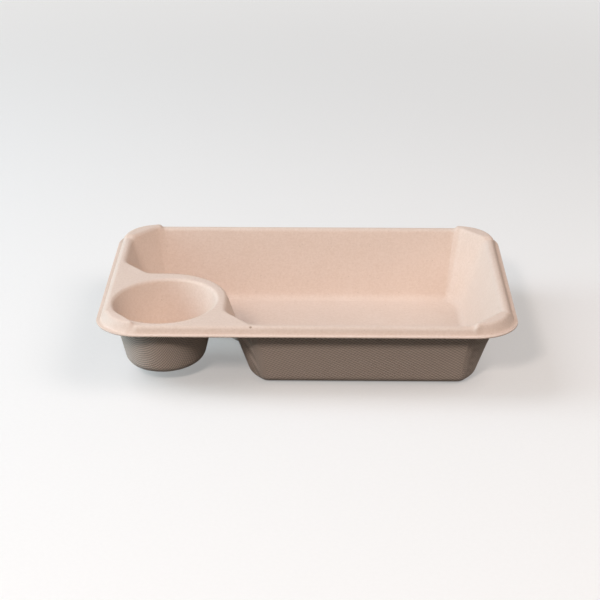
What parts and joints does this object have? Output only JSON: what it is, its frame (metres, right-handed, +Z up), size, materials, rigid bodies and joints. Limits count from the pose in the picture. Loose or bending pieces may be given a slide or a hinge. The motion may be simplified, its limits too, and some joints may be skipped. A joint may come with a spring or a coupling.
{
  "type": "salad container",
  "caption": "Shallow rectangular food tray of moulded fibre with cut-off basin corners, raised rim corners and an oval sauce cup pressed into a front corner.",
  "frame": {"origin": "on the table, under the middle of the tray's length and width", "axes": "+X along the tray's length with the cup at the -X end, +Y across the tray away from the cup, +Z up"},
  "size_m": [0.23, 0.163, 0.0429],
  "materials": {
    "fibre": "matte pressed pulp, smooth with fine fibres inside, fine wire-mesh imprint outside"
  },
  "bodies": {
    "root": {"tray": "fibre"}
  },
  "joints": []
}
